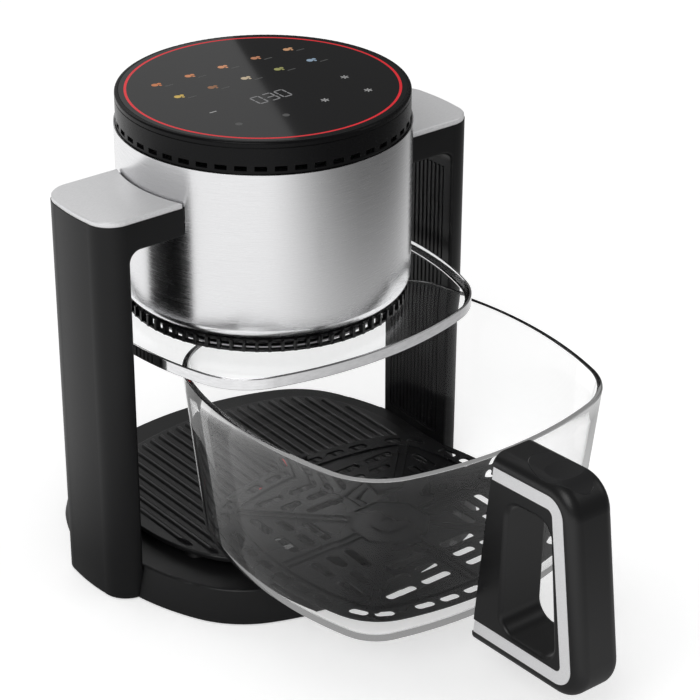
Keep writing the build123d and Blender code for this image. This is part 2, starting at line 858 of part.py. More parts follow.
digits_x = -6.0
digits_y = -8.0
with BuildPart() as control_board:
    with BuildSketch(Plane.XY.offset(guide_bottom)):
        Circle(light_ring_radius - 2.4)
    extrude(amount=1.6)
    with Locations(*[(x, y, guide_bottom - 2) for x in (-40, 30) for y in (-20, 24)]):
        Box(9, 9, 4)
control_board.part.label = "control_board"
export_step(control_board.part, "parts/control_board.step")

with BuildPart() as digit_display:
    with Locations((digits_x, digits_y, (guide_bottom + 1.6 + glass_bottom) / 2)):
        Box(50, 19, glass_bottom - guide_bottom - 1.6)
digit_display.part.label = "digit_display"
export_step(digit_display.part, "parts/digit_display.step")

# Bowl: hollow glass with a drafted wall, a round foot and a soft rim.
with BuildPart() as bowl_hollow:
    with BuildSketch(Plane.XY.offset(bowl_top)):
        bowl_outline(bowl_wall)
    extrude(amount=-(bowl_top - bowl_bottom - bowl_floor), taper=bowl_taper)
    fillet(bowl_hollow.faces().sort_by(Axis.Z)[0].edges(), bowl_foot_radius - bowl_floor)

with BuildPart() as glass_bowl:
    with BuildSketch(Plane.XY.offset(bowl_top)):
        bowl_outline()
    extrude(amount=-(bowl_top - bowl_bottom), taper=bowl_taper)
    fillet(glass_bowl.faces().sort_by(Axis.Z)[0].edges(), bowl_foot_radius)
    add(bowl_hollow.part, mode=Mode.SUBTRACT)
    fillet(glass_bowl.edges().group_by(Axis.Z)[-1], 1.4)
glass_bowl.part.label = "glass_bowl"
export_step(glass_bowl.part, "parts/glass_bowl.step")

# Handle loop, drawn from the line of the silver band seen from the side.
bowl_front = bowl_y - bowl_half
band_line = [
    (bowl_front + 30, 172.8),
    (bowl_front - 66.0, 177.8),
    (bowl_front - 84.6, 38.6),
    (bowl_front + 30, 35.0),
]
grip_hole = [
    (bowl_front - 14.5, 153.5),
    (bowl_front - 55.5, 156.5),
    (bowl_front - 66.0, 51.5),
    (bowl_front - 12.0, 50.0),
]


def band_outline(shift=0.0):
    """Draws the side view whose three outer sides follow the silver band."""
    with BuildLine() as outline:
        FilletPolyline(*band_line, radius=15)
        Line(band_line[-1], band_line[0])
    make_face(outline.edges())
    if shift:
        offset(amount=shift)


def button_outline(grow=0.0):
    with Locations((0, button_y)):
        Ellipse(button_half_x + grow, button_half_y + grow)


def cut_away_bowl(gap):
    """Removes the bowl's outside and a gap round it from the part being built."""
    lean = math.tan(math.radians(bowl_taper))
    with BuildSketch(Plane.XY.offset(bowl_top + 10)) as room:
        bowl_outline(-gap - 10 * lean)
    depth = bowl_top - bowl_bottom + 25
    extrude(room.sketch, amount=-depth, taper=bowl_taper, mode=Mode.SUBTRACT)


button_bottom = 170.0
button_travel = 2.5
pocket_floor = 166.5
with BuildPart() as handle_blank:
    with BuildSketch(Plane.YZ):
        band_outline(handle_margin)
    extrude(amount=handle_half, both=True)
    side_edges = handle_blank.faces().filter_by(Plane.YZ).edges()
    fillet(side_edges, handle_margin - 0.8)
    with Locations((0, bowl_front, base_height + handle_lift - 20)):
        Box(2 * handle_half + 2, 200, 40, mode=Mode.SUBTRACT)
    cut_away_bowl(fit)

with BuildPart() as handle_loop:
    add(handle_blank.part)
    with BuildSketch(Plane.YZ):
        with BuildLine():
            FilletPolyline(*grip_hole, radius=13, close=True)
        make_face()
    extrude(amount=handle_half + 1, both=True, mode=Mode.SUBTRACT)
    hole_edges = [
        edge
        for edge in handle_loop.edges().filter_by(Plane.YZ)
        if abs(abs(edge.center().X) - handle_half) < 0.01
        and grip_hole[2][0] - 1 < edge.center().Y < grip_hole[3][0] + 3
        and grip_hole[3][1] - 1 < edge.center().Z < grip_hole[1][1] + 1
    ]
    fillet(hole_edges, 3.2)
    for sign in (1, -1):
        with BuildSketch(Plane.YZ.offset(sign * (handle_half + 2))):
            band_outline()
            with BuildSketch(mode=Mode.PRIVATE) as inner_side:
                band_outline(-band_width)
            add(inner_side.sketch, mode=Mode.SUBTRACT)
        extrude(amount=-sign * (band_depth + 2), mode=Mode.SUBTRACT)
    with BuildSketch(Plane.XY.offset(pocket_floor)):
        button_outline(slide_gap)
    extrude(amount=30, mode=Mode.SUBTRACT)
handle_loop.part.label = "handle_loop"
export_step(handle_loop.part, "parts/handle_loop.step")

# Silver bands let into the two faces of the handle.
for side, sign in (("left", -1), ("right", 1)):
    with BuildPart() as handle_band:
        with BuildSketch(Plane.YZ.offset(sign * (handle_half - band_depth))):
            band_outline(-0.1)
            with BuildSketch(mode=Mode.PRIVATE) as inner_side:
                band_outline(-band_width + 0.1)
            add(inner_side.sketch, mode=Mode.SUBTRACT)
        extrude(amount=sign * (band_depth + band_proud))
        cut_away_bowl(1.6)
    handle_band.part.label = f"{side}_handle_band"
    export_step(handle_band.part, f"parts/{side}_handle_band.step")

# Release button in the handle's top, on a silicone dome that pushes it back.
with BuildPart() as release_button:
    with BuildSketch(Plane.XY.offset(button_bottom)):
        button_outline()
    extrude(amount=30)
    add(handle_blank.part, mode=Mode.INTERSECT)
    button_top = release_button.part.bounding_box().max.Z
    dish_radius = (button_half_x**2 + button_dish**2) / (2 * button_dish)
    with Locations((0, button_y, button_top - button_dish + dish_radius)):
        Sphere(dish_radius, mode=Mode.SUBTRACT)
release_button.part.label = "release_button"
export_step(release_button.part, "parts/release_button.step")

with BuildPart() as button_dome:
    with Locations((0, button_y, (pocket_floor + button_bottom) / 2)):
        Cone(7.0, 4.5, button_bottom - pocket_floor)
    with Locations((0, button_y, pocket_floor + 1.3)):
        Cone(5.8, 4.0, 2.6, mode=Mode.SUBTRACT)
button_dome.part.label = "button_dome"
export_step(button_dome.part, "parts/button_dome.step")

# Crisper plate: slots lie along the nearest side, between double spokes.
plate_bottom = plate_top - plate_thickness
slot_rows = {
    48.0: [(8.0, 38.0)],
    62.0: [(8.0, 27.0), (33.0, 51.0)],
    76.0: [(8.0, 33.0), (39.0, 64.0)],
}
edge_row = 8.4
edge_slot = 15.0
edge_pitch = 20.5
ridge_inset = 15.4
ridge_width = 1.6
corner_reach = plate_half - plate_inset
side_radius = (plate_inset**2 + corner_reach**2 - plate_corner**2) / (
    2 * (plate_inset - plate_corner)
)
with BuildPart() as crisper_plate:
    with BuildSketch(Plane.XY.offset(plate_bottom)):
        plate_outline()
        with Locations((0, bowl_y)):
            for quarter in range(4):
                with Locations(Location((0, 0, 0), (0, 0, 90 * quarter))):
                    for row, spans in slot_rows.items():
                        for low, high in spans:
                            for half in (1, -1):
                                with Locations((row, half * (low + high) / 2)):
                                    SlotOverall(
                                        high - low,
                                        plate_slot_width,
                                        rotation=90,
                                        mode=Mode.SUBTRACT,
                                    )
                    for count in (-2.5, -1.5, -0.5, 0.5, 1.5, 2.5):
                        turn = math.degrees(count * edge_pitch / side_radius)
                        reach = side_radius - edge_row
                        middle_x = plate_half - side_radius + reach * math.cos(math.radians(turn))
                        middle_y = reach * math.sin(math.radians(turn))
                        with Locations(Location((middle_x, middle_y, 0), (0, 0, turn))):
                            SlotOverall(
                                edge_slot, plate_slot_width, rotation=90, mode=Mode.SUBTRACT
                            )
                    for turn in (30, 60):
                        reach = plate_corner - edge_row
                        middle_x = corner_reach + reach * math.cos(math.radians(turn))
                        middle_y = corner_reach + reach * math.sin(math.radians(turn))
                        with Locations(Location((middle_x, middle_y, 0), (0, 0, turn))):
                            SlotOverall(
                                edge_slot - 1, plate_slot_width, rotation=90, mode=Mode.SUBTRACT
                            )
    extrude(amount=plate_thickness)
    with BuildSketch(Plane.XY.offset(plate_top)):
        plate_outline(ridge_inset)
        with BuildSketch(mode=Mode.PRIVATE) as inside_ridge:
            plate_outline(ridge_inset + ridge_width)
        add(inside_ridge.sketch, mode=Mode.SUBTRACT)
        with Locations((0, bowl_y)):
            for step in range(8):
                straight = step % 2 == 0
                end = plate_half - ridge_inset - 1
                if not straight:
                    end = corner_reach * math.sqrt(2) + plate_corner - ridge_inset - 1
                with Locations(Location((0, 0, 0), (0, 0, 45 * step))):
                    for half in (1, -1):
                        with Locations(((29 + end) / 2, half * spoke_gap / 2)):
                            Rectangle(end - 29, ridge_width)
            RegularPolygon(31, 8, rotation=22.5)
            RegularPolygon(29.2, 8, rotation=22.5, mode=Mode.SUBTRACT)
            Circle(14)
            Circle(5, mode=Mode.SUBTRACT)
    extrude(amount=plate_ridge_height)
    for x in (-64, 64):
        for y in (-64, 64):
            with BuildSketch(Plane.XY.offset(plate_bottom)):
                with Locations((x, bowl_y + y)):
                    Circle(3.2)
            extrude(amount=-(plate_bottom - bowl_bottom - bowl_floor - 0.1))
crisper_plate.part.label = "crisper_plate"
export_step(crisper_plate.part, "parts/crisper_plate.step")

# Silicone bumpers clipped over the plate's edge, one in the middle of each side.
bumper_out = 113.0
with BuildPart() as crisper_bumpers:
    for quarter in range(4):
        with Locations(Location((0, bowl_y, 0), (0, 0, 90 * quarter))):
            with Locations(((bumper_out + plate_half - 3.4) / 2, 0, plate_top - 1.3)):
                Box(bumper_out - plate_half + 3.4, 17, 7.4)
    fillet(crisper_bumpers.edges().filter_by(Axis.Z), 1.2)
    add(crisper_plate.part, mode=Mode.SUBTRACT)
crisper_bumpers.part.label = "crisper_bumpers"
export_step(crisper_bumpers.part, "parts/crisper_bumpers.step")
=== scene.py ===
"""Looks, light and camera for the air fryer oven with its glass bowl drawn out."""

import math

import bmesh
import bpy
from mathutils import Matrix, Vector


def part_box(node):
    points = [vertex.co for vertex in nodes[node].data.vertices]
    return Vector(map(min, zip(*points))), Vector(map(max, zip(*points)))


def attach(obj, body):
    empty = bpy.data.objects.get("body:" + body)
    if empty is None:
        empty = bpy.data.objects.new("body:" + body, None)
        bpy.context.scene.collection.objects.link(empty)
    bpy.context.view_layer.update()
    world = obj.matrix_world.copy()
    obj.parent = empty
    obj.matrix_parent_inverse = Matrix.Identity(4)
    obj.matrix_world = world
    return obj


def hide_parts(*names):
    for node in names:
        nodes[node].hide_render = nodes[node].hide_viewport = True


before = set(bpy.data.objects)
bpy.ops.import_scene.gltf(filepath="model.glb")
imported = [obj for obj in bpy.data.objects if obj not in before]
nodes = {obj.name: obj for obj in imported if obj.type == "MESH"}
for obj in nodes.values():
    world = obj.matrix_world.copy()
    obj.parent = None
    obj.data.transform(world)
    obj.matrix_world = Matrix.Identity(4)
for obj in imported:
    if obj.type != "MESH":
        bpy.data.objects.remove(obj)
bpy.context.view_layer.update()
scene = bpy.context.scene

# Places taken from the frame, in metres.
bowl_low, bowl_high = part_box("glass_bowl")
display_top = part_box("display_glass")[1][2]

# Noise textures lie mostly between these two values.
noise_range = (0.3, 0.7)


# Small helpers for node materials.

def new_material(name):
    """An empty Principled material: (material, nodes, links, shader)."""
    material = bpy.data.materials.new(name)
    material.use_nodes = True
    tree = material.node_tree
    return material, tree.nodes, tree.links, tree.nodes["Principled BSDF"]


def set_inputs(shader, **values):
    for name, value in values.items():
        shader.inputs[name.replace("_", " ")].default_value = value


def object_coordinates(made, links, scale=(1.0, 1.0, 1.0)):
    coordinates = made.new("ShaderNodeTexCoord")
    mapping = made.new("ShaderNodeMapping")
    mapping.inputs["Scale"].default_value = scale
    links.new(coordinates.outputs["Object"], mapping.inputs["Vector"])
    return mapping.outputs["Vector"]


def noise(made, links, vector, scale, detail=2.0, rough=0.5):
    texture = made.new("ShaderNodeTexNoise")
    texture.inputs["Scale"].default_value = scale
    texture.inputs["Detail"].default_value = detail
    texture.inputs["Roughness"].default_value = rough
    links.new(vector, texture.inputs["Vector"])
    return texture.outputs["Fac"]


def map_range(made, links, value, start, end, interpolation="LINEAR"):
    """Maps the (low, high) pair start to the pair end."""
    ranged = made.new("ShaderNodeMapRange")
    ranged.interpolation_type = interpolation
    ranged.inputs["From Min"].default_value, ranged.inputs["From Max"].default_value = start
    ranged.inputs["To Min"].default_value, ranged.inputs["To Max"].default_value = end
    links.new(value, ranged.inputs["Value"])
    return ranged.outputs["Result"]


def maths(made, links, operation, first, second, clamp=False):
    """A Math node of two inputs: a socket, and a socket or a number."""
    node = made.new("ShaderNodeMath")
    node.operation = operation
    node.use_clamp = clamp
    links.new(first, node.inputs[0])
    if isinstance(second, float):
        node.inputs[1].default_value = second
    else:
        links.new(second, node.inputs[1])
    return node.outputs["Value"]


def spread(made, links, value, low, high):
    """Maps noise to low..high."""
    return map_range(made, links, value, noise_range, (low, high))


def two_tone(made, links, value, dark, light):
    ramp = made.new("ShaderNodeValToRGB")
    stops = ramp.color_ramp.elements
    stops[0].position, stops[1].position = noise_range
    stops[0].color = (*dark, 1)
    stops[1].color = (*light, 1)
    links.new(value, ramp.inputs["Fac"])
    return ramp.outputs["Color"]


def bumped(made, links, shader, height, strength, distance, edge=0.0):
    """Bump from a height, over edges rounded to the radius edge if it isn't 0."""
    bump = made.new("ShaderNodeBump")
    bump.inputs["Strength"].default_value = strength
    bump.inputs["Distance"].default_value = distance
    links.new(height, bump.inputs["Height"])
    if edge:
        bevel = made.new("ShaderNodeBevel")
        bevel.samples = 4
        bevel.inputs["Radius"].default_value = edge
        links.new(bevel.outputs["Normal"], bump.inputs["Normal"])
    links.new(bump.outputs["Normal"], shader.inputs["Normal"])


def moulded(name, colour, roughness, grain=1800.0, shine=0.4):
    """Moulded plastic: fine grain, faint colour drift and uneven gloss."""
    uneven = 0.04
    grain_depth, edge_radius = 0.00003, 0.0004
    material, made, links, shader = new_material(name)
    place = object_coordinates(made, links)
    drift = noise(made, links, place, 14.0, 3.0)
    fine = noise(made, links, place, grain, 2.0)
    darker = [value * 0.9 for value in colour]
    lighter = [value * 1.12 for value in colour]
    links.new(two_tone(made, links, drift, darker, lighter), shader.inputs["Base Color"])
    shader.inputs["Specular IOR Level"].default_value = shine
    rough = spread(made, links, fine, roughness - uneven, roughness + uneven)
    links.new(rough, shader.inputs["Roughness"])
    bumped(made, links, shader, fine, 0.25, grain_depth, edge_radius)
    return material


def coated(name, colour, roughness):
    """Non-stick coating: dark, slightly pebbled, with a soft sheen."""
    pebble_depth, edge_radius = 0.00004, 0.0003
    material, made, links, shader = new_material(name)
    place = object_coordinates(made, links)
    pebbles = noise(made, links, place, 900.0, 3.0, 0.6)
    drift = noise(made, links, place, 20.0, 2.0)
    darker = [value * 0.85 for value in colour]
    lighter = [value * 1.2 for value in colour]
    links.new(two_tone(made, links, drift, darker, lighter), shader.inputs["Base Color"])
    rough = spread(made, links, drift, roughness - 0.03, roughness + 0.05)
    links.new(rough, shader.inputs["Roughness"])
    bumped(made, links, shader, pebbles, 0.3, pebble_depth, edge_radius)
    return material


def metal(
    name, colour, roughness,
    stretch=(1.0, 1.0, 1.0), scale=600.0, depth=0.00001, metallic=1.0,
):
    """Metal whose fine marks follow the stretch of its coordinates."""
    edge_radius = 0.0003
    material, made, links, shader = new_material(name)
    set_inputs(shader, Metallic=metallic)
    place = object_coordinates(made, links, stretch)
    marks = noise(made, links, place, scale, 3.0, 0.6)
    darker = [value * 0.93 for value in colour]
    lighter = [min(value * 1.05, 1.0) for value in colour]
    links.new(two_tone(made, links, marks, darker, lighter), shader.inputs["Base Color"])
    rough = spread(made, links, marks, roughness * 0.8, roughness * 1.2)
    links.new(rough, shader.inputs["Roughness"])
    bumped(made, links, shader, marks, 0.2, depth, edge_radius)
    return material


def clear_glass(name, tint):
    """Clear glass, a trace uneven, mirroring less than real glass would."""
    reflected = 0.16
    wave_depth = 0.0003
    material, made, links, shader = new_material(name)
    set_inputs(shader, Base_Color=(*tint, 1), IOR=1.5, Roughness=0.0, Transmission_Weight=1.0)
    shader.inputs["Specular Tint"].default_value = (reflected, reflected, reflected, 1)
    place = object_coordinates(made, links)
    wave = noise(made, links, place, 12.0, 1.0)
    bumped(made, links, shader, wave, 0.04, wave_depth)
    return material


def glossy_black(name, colour, roughness):
    """Black display glass: a clear, hard gloss over a dark print."""
    material, made, links, shader = new_material(name)
    place = object_coordinates(made, links)
    drift = noise(made, links, place, 6.0, 1.0)
    darker = [value * 0.8 for value in colour]
    links.new(two_tone(made, links, drift, darker, colour), shader.inputs["Base Color"])
    rough = spread(made, links, drift, roughness * 0.8, roughness * 1.2)
    links.new(rough, shader.inputs["Roughness"])
    set_inputs(shader, IOR=1.5)
    return material


def glowing(name, colour, strength):
    """A lit symbol or light ring, slightly uneven along its length."""
    material, made, links, shader = new_material(name)
    place = object_coordinates(made, links)
    drift = noise(made, links, place, 40.0, 2.0)
    darker = [value * 0.85 for value in colour]
    tone = two_tone(made, links, drift, darker, colour)
    links.new(tone, shader.inputs["Base Color"])
    links.new(tone, shader.inputs["Emission Color"])
    shader.inputs["Emission Strength"].default_value = strength
    set_inputs(shader, Roughness=0.3)
    return material


# Materials, tuned by comparing the brightness of renders and the photograph.
pillar_black = moulded("pillar_black", (0.007, 0.007, 0.0075), 0.4, shine=0.27)
base_black = moulded("base_black", (0.008, 0.008, 0.0085), 0.38)
handle_black = moulded("handle_black", (0.008, 0.008, 0.0085), 0.36, shine=0.5)
cap_black = moulded("cap_black", (0.005, 0.005, 0.0055), 0.28, shine=0.14)
cage_black = moulded("cage_black", (0.005, 0.005, 0.0055), 0.4)
button_grey = moulded("button_grey", (0.014, 0.014, 0.015), 0.5)
foot_rubber = moulded("foot_rubber", (0.012, 0.012, 0.012), 0.7, 700.0)
soft_silicone = moulded("soft_silicone", (0.012, 0.012, 0.013), 0.6, 900.0)
tray_coat = coated("tray_coat", (0.007, 0.007, 0.0075), 0.34)
crisper_coat = coated("crisper_coat", (0.005, 0.005, 0.0055), 0.26)
drum_steel = metal("drum_steel", (0.84, 0.84, 0.85), 0.24, (1.0, 1.0, 60.0), 55.0, 0.000004)
rim_chrome = metal("rim_chrome", (0.80, 0.80, 0.81), 0.07, (1.0, 1.0, 4.0), 120.0, 0.000004)
# Aluminium with Metallic well below 1, a stand-in that keeps the caps and bands
# pale where gloss sees the dim side of this studio.
cap_aluminium = metal(
    "cap_aluminium", (0.90, 0.90, 0.91), 0.36, (1.0, 6.0, 1.0), 500.0, metallic=0.3,
)
band_aluminium = metal("band_aluminium", (0.93, 0.93, 0.94), 0.42, scale=1500.0, metallic=0.1)
inner_steel = metal("inner_steel", (0.42, 0.42, 0.43), 0.36)
screw_steel = metal("screw_steel", (0.55, 0.55, 0.55), 0.3)
bowl_glass = clear_glass("bowl_glass", (1.0, 1.0, 1.0))
lid_glass = clear_glass("lid_glass", (0.985, 0.99, 0.99))
display_black = glossy_black("display_black", (0.0035, 0.0035, 0.004), 0.05)
ring_red = glowing("ring_red", (0.56, 0.004, 0.012), 0.55)
# The red dock mark is paint, not a light, yet it glows a little: painted light.
red_mark_painted_glow = glowing("red_mark_painted_glow", (0.5, 0.01, 0.012), 0.25)
light_pipe = glowing("light_pipe", (0.5, 0.4, 0.4), 0.05)
board_green = moulded("board_green", (0.01, 0.08, 0.03), 0.35)
module_black = moulded("module_black", (0.01, 0.01, 0.01), 0.3)

finishes = {
    "base_cover": base_black,
    "base_bottom": base_black,
    "base_bosses": base_black,
    "base_screws": screw_steel,
    "base_feet": foot_rubber,
    "cord_gland": soft_silicone,
    "ribbed_tray": tray_coat,
    "tray_feet": base_black,
    "dock_mark": red_mark_painted_glow,
    "left_pillar_shell": pillar_black,
    "right_pillar_shell": pillar_black,
    "left_pillar_panel": pillar_black,
    "right_pillar_panel": pillar_black,
    "left_pillar_cap": cap_aluminium,
    "right_pillar_cap": cap_aluminium,
    "left_arm_bracket": inner_steel,
    "right_arm_bracket": inner_steel,
    "drum_shell": drum_steel,
    "heater_pan": inner_steel,
    "heating_element": inner_steel,
    "heater_guard": rim_chrome,
    "vent_cage": cage_black,
    "glass_lid": lid_glass,
    "lid_rim": rim_chrome,
    "lid_retainer": inner_steel,
    "motor_can": inner_steel,
    "motor_bracket": inner_steel,
    "upper_deck": inner_steel,
    "power_board": board_green,
    "cap_ring": cap_black,
    "display_glass": display_black,
    "light_ring": ring_red,
    "light_guide": light_pipe,
    "control_board": board_green,
    "digit_display": module_black,
    "motor_shaft": screw_steel,
    "convection_fan": inner_steel,
    "cooling_fan": cage_black,
    "fan_nut": screw_steel,
    "glass_bowl": bowl_glass,
    "handle_loop": handle_black,
    "left_handle_band": band_aluminium,
    "right_handle_band": band_aluminium,
    "button_dome": soft_silicone,
    "crisper_plate": crisper_coat,
    "crisper_bumpers": soft_silicone,
    "release_button": button_grey,
}
for name, finish in finishes.items():
    piece = nodes[name]
    piece.data.materials.clear()
    piece.data.materials.append(finish)


# Glass bowl: a smooth wall swept round the same soft square as in the CAD.
foot_steps, wall_steps, lip_steps, arc_steps = 12, 8, 6, 20
bowl_half = (bowl_high[0] - bowl_low[0]) / 2
bowl_middle = ((bowl_low[0] + bowl_high[0]) / 2, (bowl_low[1] + bowl_high[1]) / 2)
bowl_corner, bowl_inset = 0.055, 0.0644
bowl_lean = math.radians(5.9)
bowl_wall, bowl_floor, bowl_foot, bowl_lip = 0.0042, 0.0045, 0.019, 0.0014


def bowl_side(inset_by, floor_z, foot):
    """(inset, z) points from the floor's edge up one side of the wall."""
    slope = math.tan(bowl_lean)
    middle_z = floor_z + foot
    middle = inset_by + (bowl_high[2] - middle_z) * slope + foot / math.cos(bowl_lean)
    points = []
    for step in range(foot_steps + 1):
        turn = math.pi / 2 + (bowl_lean - math.pi / 2) * step / foot_steps
        points.append((middle - foot * math.cos(turn), middle_z - foot * math.sin(turn)))
    first, last = points[-1], inset_by + bowl_lip * slope
    top = bowl_high[2] - bowl_lip
    for step in range(1, wall_steps + 1):
        share = step / wall_steps
        points.append((first[0] + (last - first[0]) * share, first[1] + (top - first[1]) * share))
    return points


def bowl_profile():
    """(inset, z) points up the outside, over the lip and down the inside."""
    outer = bowl_side(0.0, bowl_low[2], bowl_foot)
    inner = bowl_side(bowl_wall, bowl_low[2] + bowl_floor, bowl_foot - bowl_floor)
    lip = []
    for step in range(1, lip_steps):
        turn = math.pi / 2 * step / lip_steps
        lip.append((
            bowl_lip * (1 - math.cos(turn)),
            bowl_high[2] - bowl_lip * (1 - math.sin(turn)),
        ))
    inner_lip = [(bowl_wall - inset, z) for inset, z in reversed(lip)]
    ends = [(bowl_lip, bowl_high[2]), (bowl_wall - bowl_lip, bowl_high[2])]
    return outer + lip + ends + inner_lip + inner[::-1]


def bowl_plan():
    """(x, y, normal angle) round the soft square, from its tangent arcs."""
    corner_at = bowl_half - bowl_inset
    side_radius = (
        (bowl_inset**2 + corner_at**2 - bowl_corner**2) / (2 * (bowl_inset - bowl_corner))
    )
    half_turn = math.atan2(corner_at, side_radius - bowl_inset)
    points = []
    for quarter in range(4):
        spin = quarter * math.pi / 2
        for centre, radius, start, end in (
            ((bowl_half - side_radius, 0.0), side_radius, -half_turn, half_turn),
            ((corner_at, corner_at), bowl_corner, half_turn, math.pi / 2 - half_turn),
        ):
            for step in range(arc_steps):
                turn = start + (end - start) * step / arc_steps
                x = centre[0] + radius * math.cos(turn)
                y = centre[1] + radius * math.sin(turn)
                points.append((
                    x * math.cos(spin) - y * math.sin(spin),
                    x * math.sin(spin) + y * math.cos(spin),
                    turn + spin,
                ))
    return points


plan = bowl_plan()
mesh = bmesh.new()
rows = []
for inset, z in bowl_profile():
    rows.append([
        mesh.verts.new((
            bowl_middle[0] + x - inset * math.cos(turn),
            bowl_middle[1] + y - inset * math.sin(turn),
            z,
        ))
        for x, y, turn in plan
    ])
for lower, upper in zip(rows, rows[1:]):
    for index, corner in enumerate(lower):
        after = (index + 1) % len(lower)
        mesh.faces.new((corner, lower[after], upper[after], upper[index]))
mesh.faces.new(rows[0][::-1])
mesh.faces.new(rows[-1])
bmesh.ops.recalc_face_normals(mesh, faces=mesh.faces)
for face in mesh.faces:
    face.smooth = len(face.verts) == 4
bowl_data = bpy.data.meshes.new("smooth_bowl")
mesh.to_mesh(bowl_data)
mesh.free()
smooth_bowl = bpy.data.objects.new("smooth_bowl", bowl_data)
scene.collection.objects.link(smooth_bowl)
bowl_data.materials.append(bowl_glass)
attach(smooth_bowl, "drawer")
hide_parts("glass_bowl")


# Display: symbols and digits as thin plates, sunk a little into the glass.
symbol_sink, symbol_thickness = 0.00004, 0.00006


def flat_mesh(name, outlines, finish, body):
    """A thin plate for each closed outline of (x, y) points, on the display."""
    mesh = bmesh.new()
    for outline in outlines:
        corners = [mesh.verts.new((x, y, display_top - symbol_sink)) for x, y in outline]
        face = mesh.faces.new(corners)
        lifted = bmesh.ops.extrude_face_region(mesh, geom=[face])
        for corner in lifted["geom"]:
            if isinstance(corner, bmesh.types.BMVert):
                corner.co.z += symbol_thickness
    bmesh.ops.recalc_face_normals(mesh, faces=mesh.faces)
    data = bpy.data.meshes.new(name)
    mesh.to_mesh(data)
    mesh.free()
    piece = bpy.data.objects.new(name, data)
    scene.collection.objects.link(piece)
    data.materials.append(finish)
    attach(piece, body)


def disc(x, y, radius, count=24):
    turns = [2 * math.pi * step / count for step in range(count)]
    return [(x + radius * math.cos(turn), y + radius * math.sin(turn)) for turn in turns]


def bar(x, y, length, width, turn=0.0):
    """A bar with pointed ends, as in a seven-segment digit."""
    half, side = length / 2, width / 2
    points = [
        (-half, 0), (-half + side, -side), (half - side, -side),
        (half, 0), (half - side, side), (-half + side, side),
    ]
    cos, sin = math.cos(turn), math.sin(turn)
    return [(x + px * cos - py * sin, y + px * sin + py * cos) for px, py in points]


column = [-0.0594, -0.0303, -0.0010, 0.0288, 0.0586]
row_y = [0.0473, 0.0187, -0.0210, -0.0510]
symbol_colours = [
    [
        (0.62, 0.20, 0.06), (0.70, 0.26, 0.10), (0.70, 0.30, 0.14),
        (0.55, 0.22, 0.10), (0.66, 0.34, 0.16),
    ],
    [
        (0.66, 0.45, 0.08), (0.32, 0.14, 0.06), (0.62, 0.50, 0.34),
        (0.34, 0.34, 0.10), (0.30, 0.42, 0.55),
    ],
]
# Each symbol is three discs: (x, y, radius) from its place.
symbol_discs = [(-0.0014, 0.0006, 0.0026), (0.0024, 0.0010, 0.0016), (0.0016, -0.0022, 0.0011)]
for row, colours in enumerate(symbol_colours):
    for index, colour in enumerate(colours):
        lit = glowing(f"symbol_{row}_{index}", colour, 0.16)
        x, y = column[index], row_y[row]
        outlines = [disc(x + across, y + up, radius) for across, up, radius in symbol_discs]
        flat_mesh(f"symbol_{row}_{index}", outlines, lit, "housing")

pale = glowing("symbol_pale", (0.34, 0.34, 0.34), 0.3)
digit_light = glowing("digit_light", (0.20, 0.20, 0.205), 0.35)
dim = glowing("symbol_dim", (0.06, 0.06, 0.06), 0.3)

segment_places = {
    "top": (0, 1, 0), "middle": (0, 0, 0), "bottom": (0, -1, 0),
    "upper_left": (-0.5, 0.5, 1), "upper_right": (0.5, 0.5, 1),
    "lower_left": (-0.5, -0.5, 1), "lower_right": (0.5, -0.5, 1),
}
digit_segments = {
    "0": ("top", "bottom", "upper_left", "upper_right", "lower_left", "lower_right"),
    "3": ("top", "middle", "bottom", "upper_right", "lower_right"),
    "5": ("top", "middle", "bottom", "upper_left", "lower_right"),
}
digit_height, digit_width, digit_pitch = 0.0064, 0.0070, 0.0105
digits_middle, segment_width, segment_gap = -0.0085, 0.0013, 0.0004
digits = []
for position, digit in enumerate("030"):
    x = digits_middle + (position - 1) * digit_pitch
    for segment in digit_segments[digit]:
        sx, sy, upright = segment_places[segment]
        length = (digit_height if upright else digit_width) - segment_gap
        digits.append(bar(
            x + sx * digit_width, row_y[2] + sy * digit_height,
            length, segment_width, math.pi / 2 if upright else 0.0,
        ))
flat_mesh("display_digits", digits, digit_light, "housing")

# Controls are small stars and a dash, labels are dim bars under the symbols.
controls = []
for x, y in ((0.0562, -0.0230), (0.0535, -0.0534), (0.0175, -0.0497)):
    for turn in range(3):
        controls.append(bar(x, y, 0.0068, 0.0011, turn * math.pi / 3))
controls.append(bar(-0.0578, -0.0196, 0.0062, 0.0012))
flat_mesh("display_controls", controls, pale, "housing")
dim_marks = [disc(-0.0566, -0.0485, 0.0026), disc(-0.0211, -0.0553, 0.0026)]
for row in (0, 1):
    for x in column:
        dim_marks.append(bar(x + 0.0065, row_y[row] - 0.0060, 0.0075, 0.0012))
flat_mesh("display_labels", dim_marks, dim, "housing")


# Camera angle of the photograph, which also turns the studio's light.
azimuth, elevation = math.radians(37.953), math.radians(27.58)
ahead = Vector((
    math.sin(azimuth) * math.cos(elevation),
    math.cos(azimuth) * math.cos(elevation),
    -math.sin(elevation),
))
sideways = Vector((math.cos(azimuth), -math.sin(azimuth), 0))


def mirrored(made, links, light_path):
    """1 for rays that come from a reflection and not through glass."""
    rays = light_path.outputs
    glossy, through = rays["Is Glossy Ray"], rays["Is Transmission Ray"]
    return maths(made, links, "SUBTRACT", glossy, through, clamp=True)


def seen(made, links, light_path):
    """1 for rays from the camera and through glass."""
    rays = light_path.outputs
    direct, through = rays["Is Camera Ray"], rays["Is Transmission Ray"]
    return maths(made, links, "MAXIMUM", direct, through)
